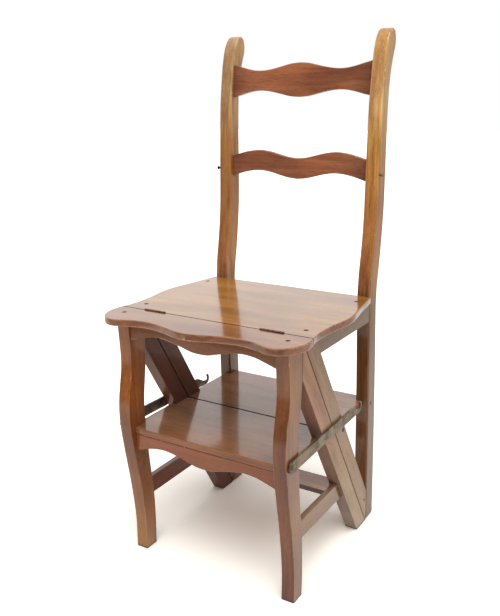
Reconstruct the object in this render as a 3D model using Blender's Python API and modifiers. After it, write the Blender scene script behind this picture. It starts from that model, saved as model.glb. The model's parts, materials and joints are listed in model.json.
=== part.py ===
"""Library step chair: a chair hinged along its seat, which turns over into a short flight of steps.

Places are given from the hinge line: X is 0 on the chair's centre plane and grows to the sitter's left,
Y is 0 on the hinge line and grows to the back, and Z is 0 on the floor. All lengths are in metres.
"""

import math

import bmesh
import bpy
from mathutils import Euler, Vector

for leftover in list(bpy.data.objects):
    bpy.data.objects.remove(leftover, do_unlink=True)

# Whole chair
seat_height = 0.450
outer_width = 0.327
joint_gap = 0.0003
seam_gap = 0.0012
overrun = 0.002
edge_round = 0.0012

# Hinge between the two sections
hinge_rise = 0.0003
hinge_length = 0.0415
hinge_inset = 0.0510
knuckle_radius = 0.0022
pin_radius = 0.0009
leaf_thickness = 0.0013
leaf_height = 0.0100
leaf_lap = 0.0016
hinge_screw_spacing = 0.0250
hinge_screw_drop = 0.0078

# Seat
board_thickness = 0.0120
seat_overhang = 0.0240
seat_front_overhang = 0.0263
seat_back_depth = 0.2562
seat_round = 0.0022

# Sloping seam and struts
strut_run = 0.0380
toe_length = 0.0024
strut_width = 0.0235

# Front legs
leg_width = 0.0235
leg_reach = 0.0482

# Back posts
post_width = 0.0250
post_depth = 0.0820
post_round = 0.0032

# Slats
slat_thickness = 0.0090
slat_tenon = 0.0130
slat_tenon_thickness = 0.0066
top_slat_height = 0.0595
top_slat_drop = 0.0811
top_slat_inset = 0.0063
top_slat_tilt = math.radians(4)
top_slat_tenon_height = 0.0380
middle_slat_height = 0.0375
middle_slat_wave = 0.0130
middle_slat_drop = 0.2366
middle_slat_inset = 0.0087
middle_slat_tenon_height = 0.0260

# Aprons
apron_thickness = 0.0150
apron_inset = 0.0142
apron_tenon = 0.0120
apron_tenon_thickness = 0.0090
seat_apron_height = 0.0345
shelf_apron_height = 0.0325
apron_arch = 0.0140
apron_tenon_height = 0.0160

# Rails under the rear seat board
rail_thickness = 0.0175
rail_height = 0.0342
rail_inset = 0.0005
rail_tenon_thickness = 0.0090
rail_tenon_height = 0.0200
rail_tenon_depth = 0.0130

# Shelf
shelf_height = 0.2470
shelf_thickness = 0.0120
shelf_side_housing = 0.0100
shelf_back_housing = 0.0300
shelf_lip = 0.0010

# Low stretchers and tread
stretcher_thickness = 0.0095
stretcher_height = 0.0330
stretcher_lip = 0.0030
stretcher_tenon = 0.0130
stretcher_tenon_thickness = 0.0062
stretcher_tenon_height = 0.0210
tread_thickness = 0.0090
tread_top = 0.1280
tread_inset = 0.0191
tread_depth = 0.0475
tread_housing = 0.0035

# Hook bars
bar_thickness = 0.0035
bar_height = 0.0194
bar_offset = 0.0010
pivot_inset = 0.0140
pivot_rise = 0.0040
left_bar_rise = math.radians(1.4)
right_bar_droop = math.radians(1.2)
hook_wall = 0.0038
hook_neck = 0.0330
washer_thickness = 0.0004
washer_radius = 0.0060

# Studs
stud_radius = 0.0020
stud_head_radius = 0.0034
stud_head_thickness = 0.0015
stud_depth = 0.0120
stud_inset = 0.0053
stud_lift = 0.0104
park_radius = 0.0032
park_proud = 0.0006
park_inset = 0.0287
park_drop = 0.0155

# Screws: head radius, head depth, shank radius and length
seat_screw = (0.0038, 0.0026, 0.0018, 0.0300)
hinge_screw = (0.0024, 0.0009, 0.0011, 0.0110)
side_screw = (0.0030, 0.0022, 0.0015, 0.0210)
pivot_screw = (0.0052, 0.0022, 0.0024, 0.0150)
slot_width = 0.0009
slot_depth = 0.0008
screw_margin = 0.0080
leg_screw_inset = 0.0110
strut_screw_inset = 0.0227
rail_screw_inset = 0.0397
shelf_screw_inset = 0.0195
toe_screw_inset = 0.0088
toe_screw_height = 0.0480

# Smoothness of drawn curves and turned pieces
curve_steps = 3
turned_steps = 14

# Side view of the front leg, as shares of its height and of leg_reach
leg_front_shares = ((0, .467), (.103, .442), (.194, .488), (.313, .622), (.434, .803), (.537, .944),
                    (.608, 1), (.679, .965), (.743, .861), (.800, .760), (.868, .737), (1, .799))
leg_back_shares = ((0, -.104), (.103, -.145), (.228, -.124), (.331, -.031), (.434, .058), (.537, .120),
                   (.621, .156), (.685, .124), (.754, .031), (.822, -.046), (.891, -.083), (1, -.104))

# Side view of the back post, as shares of its height and of post_depth
post_front_shares = ((0, .152), (.155, .110), (.311, .073), (.400, .030), (.470, .006), (.505, .006),
                     (.544, .049), (.577, .118), (.622, .195), (.666, .238), (.733, .268), (.799, .301),
                     (.861, .341), (.905, .402), (.938, .463), (.964, .537), (.983, .628), (.9955, .744),
                     (1, .855))
post_back_shares = ((1, .855), (.9955, .951), (.983, 1), (.968, .988), (.952, .915), (.930, .823),
                    (.902, .745), (.866, .703), (.811, .679), (.744, .673), (.688, .661), (.650, .638),
                    (.611, .591), (.566, .518), (.527, .440), (.500, .402), (.466, .394), (.400, .427),
                    (.311, .470), (.155, .524), (0, .549))

# Plan of the seat: shares of half its width, and of its depth before and behind the hinge line
seat_front_shares = ((0, 1), (.075, .980), (.160, .917), (.304, .799), (.427, .749), (.533, .756),
                     (.640, .819), (.734, .908), (.812, .932), (.888, .852), (.951, .677), (.988, .446),
                     (.992, .215), (.981, 0))
seat_side_shares = ((.981, 0), (.963, .06), (.955, .13), (.957, .20), (.965, .29), (.985, .39),
                    (.997, .475), (.990, .565), (.965, .66), (.935, .77), (.908, .90), (.885, 1))

# Slats: shares of half their span and of half their height, or of the wave
top_slat_shares = ((0, 1), (.13, .95), (.26, .82), (.39, .69), (.52, .606), (.65, .61), (.78, .714),
                   (.89, .85), (1, .97))
middle_slat_wave_shares = ((0, 0), (.13, .13), (.26, .44), (.39, .78), (.53, .99), (.66, .94), (.80, .68),
                           (.90, .38), (1, .06))

# Lower edges of the aprons: shares of half their span, and of the arch above the central drop
apron_edge_shares = ((0, 0), (.11, .06), (.25, .42), (.40, .78), (.52, .98), (.62, 1), (.74, .86),
                     (.86, .52), (1, .08))

# Places that follow from the sizes above
hinge_height = seat_height + hinge_rise
post_height = 2 * hinge_height
half_width = outer_width / 2
leg_inner = half_width - leg_width
strut_inner = half_width - strut_width
post_inner = half_width - post_width
seat_half_width = half_width + seat_overhang
seat_front_depth = leg_reach + seat_front_overhang
under_seat = seat_height - board_thickness - joint_gap
under_shelf = shelf_height - shelf_thickness - joint_gap
half_seam = seam_gap / 2
post_set = seat_back_depth + joint_gap
apron_set = leg_reach - apron_inset
apron_back = apron_set - apron_thickness
shelf_half_width = leg_inner + shelf_side_housing
shelf_front_depth = apron_set + shelf_lip
shelf_back_depth = post_set + shelf_back_housing
stretcher_top = tread_top + stretcher_lip
bar_inner = half_width + bar_offset
bar_outer = bar_inner + bar_thickness
side_margin = (leg_width - stretcher_thickness) / 2
stretcher_inner = leg_inner + side_margin
rail_outer = half_width - rail_inset
rail_inner = rail_outer - rail_thickness
hinge_centre = half_width - hinge_inset
screw_set = half_width - screw_margin

parts = bpy.data.collections.new("library_step_chair")
cutters = bpy.data.collections.new("cutters")
bpy.context.scene.collection.children.link(parts)
bpy.context.scene.collection.children.link(cutters)


def smooth_path(points):
    """Points on a smooth curve that runs through the given points."""
    path = []
    last = len(points) - 1
    for i in range(last):
        before = Vector(points[max(i - 1, 0)])
        start = Vector(points[i])
        end = Vector(points[i + 1])
        after = Vector(points[min(i + 2, last)])
        for k in range(curve_steps):
            t = k / curve_steps
            bend = 2 * before - 5 * start + 4 * end - after
            twist = 3 * start - 3 * end + after - before
            path.append((2 * start + (end - before) * t + bend * t ** 2 + twist * t ** 3) / 2)
    path.append(Vector(points[last]))
    return [(point[0], point[1]) for point in path]


def mirrored(path):
    """A path from the centre outwards, continued to the other side of the centre."""
    other = [(-across, up) for across, up in reversed(path[1:])]
    return other + path


def leg_path(shares):
    return smooth_path([(-leg_reach * forward, under_seat * up) for up, forward in shares])


def post_path(shares):
    return smooth_path([(post_set + post_depth * back, post_height * up) for up, back in shares])


def at_height(path, height):
    """Y of a side view path at a height."""
    low_first = path if path[0][1] < path[-1][1] else path[::-1]
    for (y0, z0), (y1, z1) in zip(low_first, low_first[1:]):
        if z0 <= height <= z1:
            return y0 + (y1 - y0) * (height - z0) / (z1 - z0)
    return low_first[-1][0]


leg_front_path = leg_path(leg_front_shares)
leg_back_path = leg_path(leg_back_shares)
post_front_path = post_path(post_front_shares)
post_back_path = post_path(post_back_shares)
seat_front_path = mirrored(smooth_path([(seat_half_width * x, -seat_front_depth * y)
                                        for x, y in seat_front_shares]))

# The seam runs from the hinge line down to the toe of the rear strut, in front of the post
seam_foot = at_height(post_front_path, 0) - joint_gap - toe_length
seam_slope = seam_foot / seat_height
slit = half_seam * math.hypot(1, seam_slope)


def seam_at(height):
    """Y of the sloping seam at a height."""
    return seam_foot - seam_slope * height


# Slats, hook bars, studs and screws, set by the curves of the legs and posts
top_slat_centre = post_height - top_slat_drop
top_slat_set = at_height(post_front_path, top_slat_centre) + top_slat_inset
middle_slat_centre = post_height - middle_slat_drop
middle_slat_set = at_height(post_front_path, middle_slat_centre) + middle_slat_inset
pivot_height = shelf_height + pivot_rise
pivot_set = -at_height(leg_front_path, pivot_height) - pivot_inset
stud_height = post_height - pivot_height + stud_lift
stud_set = at_height(post_front_path, stud_height) + stud_inset
stud_reach = math.hypot(stud_set - pivot_set, post_height - stud_height - pivot_height)
park_height = pivot_height - park_drop
park_set = seam_at(park_height) + park_inset
leg_screw_set = -at_height(leg_front_path, under_seat) - leg_screw_inset
strut_screw_set = seam_at(under_seat) + strut_screw_inset
rail_screw_set = seat_back_depth - rail_screw_inset
shelf_screw_set = post_set + shelf_screw_inset
toe_screw_set = at_height(post_front_path, toe_screw_height) - toe_screw_inset

foremost = min(y for x, y in seat_front_path)
backmost = max(y for y, z in post_back_path)
middle = (foremost + backmost) / 2


def empty(name, place, parent=None):
    """An empty that carries a section of the chair, placed from the hinge line."""
    holder = bpy.data.objects.new(name, None)
    parts.objects.link(holder)
    holder["place"] = place
    if parent:
        holder.parent = parent
        holder.location = Vector(place) - Vector(parent["place"])
    else:
        holder.location = (0, -middle, 0)
    return holder


chair = empty("chair_origin", (0, 0, 0))
front_section = empty("front_section", (0, 0, 0), chair)
back_section = empty("fold_axis", (0, 0, hinge_height), chair)
bar_pivots = {side: empty("bar_pivot_" + word, (side * bar_inner, -pivot_set, pivot_height), chair)
              for side, word in ((1, "left"), (-1, "right"))}
bar_pivots[1].rotation_euler = (left_bar_rise, 0, 0)
bar_pivots[-1].rotation_euler = (-right_bar_droop, 0, 0)


def material(name, shade, roughness, metallic=0):
    """A plain material of a colour given in sRGB hex."""
    found = bpy.data.materials.get(name)
    if found:
        return found
    new = bpy.data.materials.new(name)
    new.use_nodes = True
    shader = new.node_tree.nodes["Principled BSDF"]
    steps = [int(shade[i:i + 2], 16) / 255 for i in (0, 2, 4)]
    linear = [step / 12.92 if step <= 0.04045 else ((step + 0.055) / 1.055) ** 2.4 for step in steps]
    shader.inputs["Base Color"].default_value = (*linear, 1)
    shader.inputs["Roughness"].default_value = roughness
    shader.inputs["Metallic"].default_value = metallic
    return new


def evaluated_mesh(thing):
    """The finished mesh of an object, which is removed."""
    graph = bpy.context.evaluated_depsgraph_get()
    mesh = bpy.data.meshes.new_from_object(thing.evaluated_get(graph))
    bpy.data.objects.remove(thing, do_unlink=True)
    return mesh


def tidy(mesh):
    """Weld a mesh, merge its coplanar faces and turn its faces outwards."""
    shape = bmesh.new()
    shape.from_mesh(mesh)
    bmesh.ops.remove_doubles(shape, verts=shape.verts, dist=0.00001)
    bmesh.ops.dissolve_limit(shape, angle_limit=math.radians(0.05), verts=shape.verts, edges=shape.edges)
    bmesh.ops.recalc_face_normals(shape, faces=shape.faces)
    shape.to_mesh(mesh)
    shape.free()
    return mesh


def flat_mesh(name, outline, thickness):
    """A flat shape of even thickness, its outline drawn in X and Y."""
    drawing = bpy.data.curves.new(name, "CURVE")
    drawing.dimensions = "2D"
    drawing.fill_mode = "BOTH"
    drawing.extrude = thickness / 2
    line = drawing.splines.new("POLY")
    line.points.add(len(outline) - 1)
    for point, (across, up) in zip(line.points, outline):
        point.co = (across, up, 0, 1)
    line.use_cyclic_u = True
    sheet = bpy.data.objects.new(name, drawing)
    bpy.context.scene.collection.objects.link(sheet)
    return tidy(evaluated_mesh(sheet))


def box_mesh(name, low, high):
    """A box between two corners, around its own centre, and that centre."""
    low = Vector(low)
    high = Vector(high)
    shape = bmesh.new()
    bmesh.ops.create_cube(shape, size=1)
    bmesh.ops.scale(shape, vec=high - low, verts=shape.verts)
    mesh = bpy.data.meshes.new(name)
    shape.to_mesh(mesh)
    shape.free()
    return mesh, (low + high) / 2


def turned_mesh(name, profile):
    """A turned shape about Z, from a profile of radius and height that runs from top to bottom."""
    mesh = bpy.data.meshes.new(name)
    mesh.from_pydata([(radius, 0, height) for radius, height in profile],
                     [(i, i + 1) for i in range(len(profile) - 1)], [])
    line = bpy.data.objects.new(name, mesh)
    bpy.context.scene.collection.objects.link(line)
    turn = line.modifiers.new("turn", "SCREW")
    turn.axis = "Z"
    turn.steps = turned_steps
    turn.render_steps = turned_steps
    turn.use_merge_vertices = True
    turn.merge_threshold = 0.00001
    return tidy(evaluated_mesh(line))


def put(thing, place, holder):
    """Hang an object on a section at a place given from the hinge line."""
    thing.parent = holder
    thing.location = Vector(place) - Vector(holder["place"])


def piece(name, mesh, place, holder, finish, turn=(0, 0, 0), rounding=0, segments=1):
    """A finished sub-part of the chair."""
    thing = bpy.data.objects.new(name, mesh)
    parts.objects.link(thing)
    put(thing, place, holder)
    thing.rotation_euler = turn
    mesh.materials.clear()
    mesh.materials.append(finish)
    if rounding:
        bevel = thing.modifiers.new("rounded_edges", "BEVEL")
        bevel.width = rounding
        bevel.segments = segments
        bevel.limit_method = "ANGLE"
        bevel.angle_limit = math.radians(40)
    return thing


def tool(name, mesh, place, holder, turn=(0, 0, 0)):
    """A hidden shape that cuts other pieces or is joined to them."""
    thing = bpy.data.objects.new(name, mesh)
    cutters.objects.link(thing)
    put(thing, place, holder)
    thing.rotation_euler = turn
    thing.hide_render = True
    thing.display_type = "WIRE"
    return thing


def apply_tool(thing, other, operation="DIFFERENCE"):
    change = thing.modifiers.new(other.name, "BOOLEAN")
    change.operation = operation
    change.object = other
    change.solver = "EXACT"


def mortise(things, low, high, holder, turn=(0, 0, 0)):
    """Cut a box-shaped recess into pieces. The corners are those of the thing that fits in it."""
    gap = Vector((joint_gap, joint_gap, joint_gap))
    mesh, centre = box_mesh("recess", Vector(low) - gap, Vector(high) + gap)
    recess = tool("recess", mesh, centre, holder, turn)
    for thing in things:
        apply_tool(thing, recess)


def tenon(thing, low, high, carriers, holder, turn=(0, 0, 0)):
    """Join a box to the end of a piece, and cut room for it in what holds it."""
    mesh, centre = box_mesh("tenon", low, high)
    apply_tool(thing, tool("tenon", mesh, centre, holder, turn), "UNION")
    mortise(carriers, low, high, holder, turn)


def both_sides(low, high):
    """The corners of a box on the left and of its mirror image on the right."""
    return (low, high), ((-high[0], low[1], low[2]), (-low[0], high[1], high[2]))


SIDE_VIEW = (math.radians(90), 0, math.radians(90))
FRONT_VIEW = (math.radians(90), 0, 0)
SIDES = ((1, "left"), (-1, "right"))


def screw_profile(sizes, grow=0, over=0):
    """Half the outline of a countersunk screw, or of its hole when it is grown."""
    head_radius, head_depth, shank_radius, length = sizes
    rim = head_depth / 6
    return ((0, over), (head_radius + grow, over), (head_radius + grow, -rim),
            (shank_radius + grow, -head_depth), (shank_radius + grow, -length + shank_radius - grow),
            (0, -length - grow))


def screw_mesh(name, sizes):
    """A slotted countersunk screw."""
    blank = bpy.data.objects.new(name, turned_mesh(name, screw_profile(sizes)))
    reach = sizes[0] + overrun
    mesh, centre = box_mesh("slot", (-reach, -slot_width / 2, -slot_depth), (reach, slot_width / 2, overrun))
    blade = bpy.data.objects.new("slot", mesh)
    blade.location = centre
    for thing in (blank, blade):
        bpy.context.scene.collection.objects.link(thing)
    apply_tool(blank, blade)
    bpy.context.view_layer.update()
    cut = evaluated_mesh(blank)
    bpy.data.objects.remove(blade, do_unlink=True)
    return cut


def copies_mesh(name, mesh, spots):
    """Copies of a mesh at several spots, each a place and a turn, as separate bodies in one mesh."""
    shape = bmesh.new()
    for place, turn in spots:
        known = set(shape.verts)
        shape.from_mesh(mesh)
        fresh = [vert for vert in shape.verts if vert not in known]
        bmesh.ops.transform(shape, matrix=Euler(turn).to_matrix().to_4x4(), verts=fresh)
        bmesh.ops.translate(shape, vec=Vector(place), verts=fresh)
    group = bpy.data.meshes.new(name)
    shape.to_mesh(group)
    shape.free()
    return group


def soften(mesh):
    """Shade the round faces of a turned piece smooth."""
    mesh.shade_smooth()
    mesh.set_sharp_from_angle(angle=math.radians(40))


def screws(name, sizes, spots, holder, carriers, finish):
    """Alike screws, and their holes in what carries them. Each spot is a last name, a place and a turn."""
    blank = screw_mesh(name, sizes)
    soften(blank)
    hole = turned_mesh("hole", screw_profile(sizes, joint_gap, overrun))
    origin = Vector(holder["place"])
    holes = copies_mesh("holes", hole, [(Vector(place) - origin, turn) for word, place, turn in spots])
    drill = tool("holes", holes, origin, holder)
    for carrier in carriers:
        apply_tool(carrier, drill)
    for word, place, turn in spots:
        piece(name + word, blank, place, holder, finish, turn)


mahogany = material("reddish_wood", "8E5C42", 0.32)
mahogany_side = material("seat_wood", "B08A6E", 0.22)
honey_wood = material("golden_wood", "B07A40", 0.30)
slat_wood = material("slat_wood", "8F5638", 0.34)
shelf_wood = material("shelf_wood", "8A7566", 0.25)
iron = material("old_iron", "8C8A70", 0.55, 0.8)
dark_iron = material("dark_iron", "3A3028", 0.5, 0.8)

# Front legs
legs = {}
leg_outline = leg_front_path + leg_back_path[::-1]
for side, word in SIDES:
    mesh = flat_mesh("front_leg", leg_outline, leg_width)
    place = (side * (half_width - leg_width / 2), 0, 0)
    legs[side] = piece("front_leg_" + word, mesh, place, front_section, mahogany, SIDE_VIEW, edge_round, 2)

# Front struts, which end along the back of the legs
strut_top = [(y + joint_gap, z) for y, z in leg_back_path if seam_at(z) - strut_run < y + joint_gap]
lower = [point for point in leg_back_path if point[1] < strut_top[0][1]][-1]
upper = strut_top[0]
slack_low = seam_at(lower[1]) - strut_run - lower[0] - joint_gap
slack_high = seam_at(upper[1]) - strut_run - upper[0]
share = slack_low / (slack_low - slack_high)
meet_height = lower[1] + (upper[1] - lower[1]) * share
front_strut_outline = [(seam_at(0) - strut_run, 0), (seam_at(meet_height) - strut_run, meet_height)]
front_strut_outline += strut_top
front_strut_outline += [(seam_at(under_seat) - slit, under_seat), (seam_at(0) - slit, 0)]
front_struts = {}
for side, word in SIDES:
    mesh = flat_mesh("front_strut", front_strut_outline, strut_width)
    place = (side * (half_width - strut_width / 2), 0, 0)
    front_struts[side] = piece("front_strut_" + word, mesh, place, front_section, mahogany, SIDE_VIEW)

# Back posts
posts = {}
post_outline = post_front_path[:-1] + post_back_path
for side, word in SIDES:
    mesh = flat_mesh("back_post", post_outline, post_width)
    place = (side * (half_width - post_width / 2), 0, 0)
    posts[side] = piece("back_post_" + word, mesh, place, back_section, honey_wood, SIDE_VIEW, post_round, 3)

# Rear struts, whose toes run down the front of the posts
toe_points = [(y - joint_gap, z) for y, z in post_front_path if seam_at(z) + strut_run > y - joint_gap]
toe_points = [point for point in toe_points if point[1] < shelf_height]
inner = toe_points[-1]
outer = [point for point in post_front_path if point[1] > inner[1]][0]
slack_low = seam_at(inner[1]) + strut_run - inner[0]
slack_high = seam_at(outer[1]) + strut_run - outer[0] + joint_gap
share = slack_low / (slack_low - slack_high)
toe_height = inner[1] + (outer[1] - inner[1]) * share
rear_strut_outline = [(seam_at(0) + slit, 0)]
rear_strut_outline += toe_points
rear_strut_outline += [(seam_at(toe_height) + strut_run, toe_height),
                       (seam_at(under_seat) + strut_run, under_seat),
                       (seam_at(under_seat) + slit, under_seat)]
rear_struts = {}
for side, word in SIDES:
    mesh = flat_mesh("rear_strut", rear_strut_outline, strut_width)
    place = (side * (half_width - strut_width / 2), 0, 0)
    rear_struts[side] = piece("rear_strut_" + word, mesh, place, back_section, mahogany, SIDE_VIEW)

# Seat boards, rounded all round and then cut straight where they meet
board_middle = seat_height - board_thickness / 2
joint_run = 2 * seat_round
joint_end = seat_front_path[-1][0]
front_outline = seat_front_path + [(joint_end, joint_run), (-joint_end, joint_run)]
seat_front_board = piece("seat_front_board", flat_mesh("seat_front_board", front_outline, board_thickness),
                         (0, 0, board_middle), front_section, mahogany_side, (0, 0, 0), seat_round, 2)
rear_outline = [(joint_end, -joint_run)]
rear_outline += smooth_path([(seat_half_width * x, seat_back_depth * y) for x, y in seat_side_shares])
rear_outline += [(-x, y) for x, y in rear_outline[::-1]]
seat_rear_board = piece("seat_rear_board", flat_mesh("seat_rear_board", rear_outline, board_thickness),
                        (0, 0, board_middle), back_section, mahogany_side, (0, 0, 0), seat_round, 2)
for seat_board, near, far, holder in (
        (seat_front_board, -half_seam, joint_run + overrun, front_section),
        (seat_rear_board, -joint_run - overrun, half_seam, back_section)):
    mesh, centre = box_mesh("joint_face", (-seat_half_width, near, under_seat - overrun),
                            (seat_half_width, far, seat_height + overrun))
    apply_tool(seat_board, tool("joint_face", mesh, centre, holder))


def run_on(edge, run):
    """An edge that runs straight on at both ends."""
    (x_first, z_first), (x_last, z_last) = edge[0], edge[-1]
    return [(x_first - run, z_first)] + edge + [(x_last + run, z_last)]


def cross_piece(name, upper_edge, lower_edge, thickness, place, holder, finish, tilt=0):
    """A flat piece that spans the chair, between two edges drawn in X and Z, with its ends cut square."""
    run = 2 * edge_round
    mesh = flat_mesh(name, run_on(upper_edge, run) + run_on(lower_edge, run)[::-1], thickness)
    made = piece(name, mesh, place, holder, finish, (FRONT_VIEW[0] - tilt, 0, 0), edge_round)
    reach = upper_edge[-1][0]
    heights = [z for x, z in upper_edge + lower_edge]
    low = (reach, -thickness, min(heights) - thickness)
    high = (reach + 2 * run, thickness, max(heights) + thickness)
    for corners in both_sides(low, high):
        mesh, centre = box_mesh("end_face", *corners)
        apply_tool(made, tool("end_face", mesh, Vector(centre) + Vector(place), holder, (-tilt, 0, 0)))
    return made


def slat(name, upper_edge, lower_edge, set_back, height, tenon_height, tilt=0):
    """A slat of the back, tenoned into the posts."""
    depth = set_back + slat_thickness / 2
    made = cross_piece(name, upper_edge, lower_edge, slat_thickness, (0, depth, height), back_section,
                       slat_wood, tilt)
    half = slat_tenon_thickness / 2
    low = (slat_span - overrun, depth - half, height - tenon_height / 2)
    high = (slat_span + slat_tenon, depth + half, height + tenon_height / 2)
    for post, corners in zip(posts.values(), both_sides(low, high)):
        tenon(made, *corners, [post], back_section, (-tilt, 0, 0))
    return made


# Back slats
slat_span = post_inner - joint_gap
crown = mirrored(smooth_path([(slat_span * x, top_slat_height / 2 * z) for x, z in top_slat_shares]))
top_slat = slat("top_slat", crown, [(x, -z) for x, z in crown], top_slat_set, top_slat_centre,
                top_slat_tenon_height, top_slat_tilt)
wave = mirrored(smooth_path([(slat_span * x, middle_slat_wave * z) for x, z in middle_slat_wave_shares]))
crown = [(x, z + middle_slat_height / 2) for x, z in wave]
belly = [(x, z - middle_slat_height / 2) for x, z in wave]
middle_slat = slat("middle_slat", crown, belly, middle_slat_set, middle_slat_centre,
                   middle_slat_tenon_height)


def apron(name, top, height):
    """An apron with a cupid's bow lower edge, tenoned into the legs."""
    span = leg_inner - joint_gap
    bow = [(span * x, top - height + apron_arch * z) for x, z in apron_edge_shares]
    depth = (apron_set + apron_back) / 2
    made = cross_piece(name, [(-span, top), (span, top)], mirrored(smooth_path(bow)), apron_thickness,
                       (0, -depth, 0), front_section, mahogany)
    tenon_middle = top - height / 2 + apron_arch / 4
    half = apron_tenon_thickness / 2
    low = (span - overrun, -depth - half, tenon_middle - apron_tenon_height / 2)
    high = (span + apron_tenon, -depth + half, tenon_middle + apron_tenon_height / 2)
    for leg, corners in zip(legs.values(), both_sides(low, high)):
        tenon(made, *corners, [leg], front_section)
    return made


seat_apron = apron("seat_apron", under_seat, seat_apron_height)
shelf_apron = apron("shelf_apron", under_shelf, shelf_apron_height)

# Rails under the rear seat board, tenoned into the struts and the posts
rail_foot = under_seat - rail_height
rails = {}
for side, word in SIDES:
    back_top = at_height(post_front_path, under_seat) - joint_gap
    back_foot = at_height(post_front_path, rail_foot) - joint_gap
    front_top = seam_at(under_seat) + strut_run + joint_gap
    front_foot = seam_at(rail_foot) + strut_run + joint_gap
    outline = [(front_top, under_seat), (front_foot, rail_foot), (back_foot, rail_foot),
               (back_top, under_seat)]
    centre = side * (rail_inner + rail_outer) / 2
    mesh = flat_mesh("seat_side_rail", outline, rail_thickness)
    rail = piece("seat_side_rail_" + word, mesh, (centre, 0, 0), back_section, mahogany, SIDE_VIEW)
    rails[side] = rail
    tenon_middle = under_seat - rail_height / 2
    tenon_low = tenon_middle - rail_tenon_height / 2
    tenon_high = tenon_middle + rail_tenon_height / 2
    near = centre - rail_tenon_thickness / 2
    far = centre + rail_tenon_thickness / 2
    face = seam_at(tenon_middle) + strut_run
    lean = seam_slope * rail_tenon_height / 2
    tenon(rail, (near, face - rail_tenon_depth, tenon_low), (far, face + lean + overrun, tenon_high),
          [rear_struts[side]], back_section)
    tenon(rail, (near, back_foot - overrun, tenon_low), (far, back_foot + rail_tenon_depth, tenon_high),
          [posts[side]], back_section)

# Shelf boards, housed in the legs, struts and posts, and cut along the seam
shelf_middle = shelf_height - shelf_thickness / 2
seam_angle = math.atan(seam_slope)
wedge_side = 2 * seat_height


def seam_wedge(name, side, holder):
    """A block whose face lies on one side of the seam, to cut what must stop there."""
    mesh, centre = box_mesh(name, (-wedge_side / 2,) * 3, (wedge_side / 2,) * 3)
    normal = Vector((0, math.cos(seam_angle), math.sin(seam_angle)))
    on_seam = Vector((0, seam_at(shelf_middle), shelf_middle))
    place = on_seam + side * normal * (wedge_side / 2 - half_seam)
    return tool(name, mesh, place, holder, (seam_angle, 0, 0))


def board(name, front, back, holder, finish):
    mesh, centre = box_mesh(name, (-shelf_half_width, front, shelf_height - shelf_thickness),
                            (shelf_half_width, back, shelf_height))
    return piece(name, mesh, centre, holder, finish, (0, 0, 0), edge_round)


seam_top = seam_at(shelf_height)
seam_low = seam_at(shelf_height - shelf_thickness)
shelf_front_board = board("shelf_front_board", -shelf_front_depth, seam_low + overrun, front_section,
                          shelf_wood)
apply_tool(shelf_front_board, seam_wedge("behind_the_seam", 1, front_section))
shelf_rear_board = board("shelf_rear_board", seam_top - overrun, shelf_back_depth, back_section, shelf_wood)
apply_tool(shelf_rear_board, seam_wedge("before_the_seam", -1, back_section))
shelf_low = shelf_height - shelf_thickness
for side, corners in zip((1, -1), both_sides((leg_inner - overrun, -shelf_front_depth, shelf_low),
                                             (shelf_half_width, seam_low + overrun, shelf_height))):
    mortise([legs[side], front_struts[side]], *corners, front_section)
for side, corners in zip((1, -1), both_sides((post_inner - overrun, seam_top - overrun, shelf_low),
                                             (shelf_half_width, shelf_back_depth, shelf_height))):
    mortise([rear_struts[side], posts[side]], *corners, back_section)

# Low stretchers, tenoned into the legs and the struts
stretcher_foot = stretcher_top - stretcher_height
tenon_low = stretcher_foot + (stretcher_height - stretcher_tenon_height) / 2
tenon_high = tenon_low + stretcher_tenon_height
leg_face = max(at_height(leg_back_path, z) for z in (tenon_low, tenon_high)) + joint_gap
strut_face = seam_at((tenon_low + tenon_high) / 2) - strut_run
lean = seam_slope * stretcher_tenon_height / 2
tenon_front = leg_face - stretcher_tenon
tenon_back = strut_face + stretcher_tenon
stretcher_outline = [(at_height(leg_back_path, z) + joint_gap, z) for z in (stretcher_top, stretcher_foot)]
stretcher_outline += [(seam_at(z) - strut_run - joint_gap, z) for z in (stretcher_foot, stretcher_top)]
stretchers = {}
for side, word in SIDES:
    mesh = flat_mesh("side_stretcher", stretcher_outline, stretcher_thickness)
    centre = side * (stretcher_inner + stretcher_thickness / 2)
    stretcher = piece("side_stretcher_" + word, mesh, (centre, 0, 0), front_section, mahogany, SIDE_VIEW)
    stretchers[side] = stretcher
    near = centre - stretcher_tenon_thickness / 2
    far = centre + stretcher_tenon_thickness / 2
    tenon(stretcher, (near, tenon_front, tenon_low), (far, leg_face + overrun, tenon_high),
          [legs[side]], front_section)
    tenon(stretcher, (near, strut_face - overrun - lean, tenon_low), (far, tenon_back, tenon_high),
          [front_struts[side]], front_section)

# Low tread, housed in the stretchers and fitted between the struts
tread_back = seam_at(tread_top) - tread_inset
tread_front = tread_back - tread_depth
tread_reach = stretcher_inner + tread_housing
strut_clear = strut_inner - joint_gap
notch = seam_at(tread_top) - strut_run - joint_gap
tread_outline = [(tread_reach, tread_front), (tread_reach, notch), (strut_clear, notch),
                 (strut_clear, tread_back)]
tread_outline += [(-x, y) for x, y in tread_outline[::-1]]
low_tread = piece("low_tread", flat_mesh("low_tread", tread_outline, tread_thickness),
                  (0, 0, tread_top - tread_thickness / 2), front_section, shelf_wood)
tread_low = tread_top - tread_thickness
for side, corners in zip((1, -1), both_sides((stretcher_inner - overrun, tread_front, tread_low),
                                             (tread_reach, notch, tread_top))):
    mortise([stretchers[side]], *corners, front_section)

# Hinges: a leaf in each board's joint face, three knuckles and a pin
ALONG_X = (0, math.radians(90), 0)
leaf_top = hinge_height - leaf_lap
leaf_low = leaf_top - leaf_height
knuckle_length = (hinge_length - 2 * joint_gap) / 3
gap_start = knuckle_length / 2 + joint_gap


def rod(name, radius, length):
    """A closed cylinder along Z, around its own centre."""
    return turned_mesh(name, ((0, length / 2), (radius, length / 2), (radius, -length / 2), (0, -length / 2)))


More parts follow.
